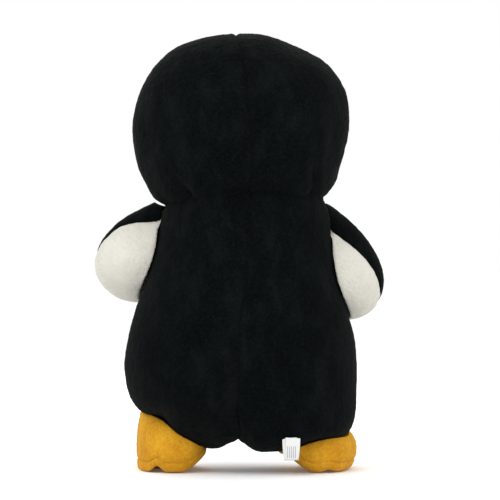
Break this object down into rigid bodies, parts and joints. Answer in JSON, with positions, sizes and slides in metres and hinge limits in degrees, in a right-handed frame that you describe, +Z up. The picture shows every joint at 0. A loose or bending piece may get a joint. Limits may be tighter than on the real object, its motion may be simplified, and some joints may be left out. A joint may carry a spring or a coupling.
{
  "type": "plush penguin",
  "caption": "Stuffed plush penguin with a wide round head, pear-shaped body, padded flippers and three-toed feet, standing.",
  "frame": {"origin": "centre of the bounding box's base, on the surface that the soles stand on", "axes": "+Z up through the head, -Y out of the face, +X towards the penguin's own left flipper"},
  "size_m": [0.2648, 0.1866, 0.4],
  "materials": {
    "black_plush": "short pile plush",
    "white_plush": "short pile plush",
    "yellow_plush": "short pile plush",
    "stuffing": "polyester fibre filling",
    "gloss_black": "gloss",
    "natural_plastic": "satin",
    "satin": "printed satin ribbon"
  },
  "bodies": {
    "torso": {"torso_back_left": "black_plush", "torso_back_right": "black_plush", "belly_panel": "white_plush", "torso_stuffing": "stuffing"},
    "head": {"head_back_left": "black_plush", "head_back_right": "black_plush", "face_panel": "white_plush", "head_stuffing": "stuffing", "eye_left": "gloss_black", "eye_right": "gloss_black", "eye_washer_left": "natural_plastic", "eye_washer_right": "natural_plastic", "beak_upper": "yellow_plush", "beak_lower": "yellow_plush", "beak_stuffing": "stuffing"},
    "flipper_left": {"flipper_left_outer": "black_plush", "flipper_left_inner": "white_plush", "flipper_left_stuffing": "stuffing"},
    "flipper_right": {"flipper_right_outer": "black_plush", "flipper_right_inner": "white_plush", "flipper_right_stuffing": "stuffing"},
    "foot_left": {"foot_left_top": "yellow_plush", "foot_left_sole": "yellow_plush", "foot_left_stuffing": "stuffing"},
    "foot_right": {"foot_right_top": "yellow_plush", "foot_right_sole": "yellow_plush", "foot_right_stuffing": "stuffing"},
    "label": {"care_label": "satin"}
  },
  "joints": [
    {"name": "head_nod", "type": "hinge", "parent": "torso", "child": "head", "pos_m": [-0.00311, 0.01263, 0.19], "axis": [1, 0, 0], "range_deg": [-10, 10], "stiffness_Nm_per_rad": 4},
    {"name": "flipper_left_flap", "type": "hinge", "parent": "torso", "child": "flipper_left", "pos_m": [0.07089, -0.00737, 0.246], "axis": [0, -1, 0], "range_deg": [0, 40], "stiffness_Nm_per_rad": 0.4},
    {"name": "flipper_right_flap", "type": "hinge", "parent": "torso", "child": "flipper_right", "pos_m": [-0.07611, -0.00737, 0.247], "axis": [0, 1, 0], "range_deg": [0, 40], "stiffness_Nm_per_rad": 0.4},
    {"name": "foot_left_flex", "type": "hinge", "parent": "torso", "child": "foot_left", "pos_m": [0.06089, 0.04263, 0.038], "axis": [1, 0, 0], "range_deg": [0, 45], "stiffness_Nm_per_rad": 1.5},
    {"name": "foot_right_flex", "type": "hinge", "parent": "torso", "child": "foot_right", "pos_m": [-0.07511, 0.04263, 0.029], "axis": [1, 0, 0], "range_deg": [0, 45], "stiffness_Nm_per_rad": 1.5},
    {"name": "label_flap", "type": "hinge", "parent": "torso", "child": "label", "pos_m": [-0.04811, 0.06583, 0.0295], "axis": [1, 0, 0], "range_deg": [-10, 90]}
  ]
}
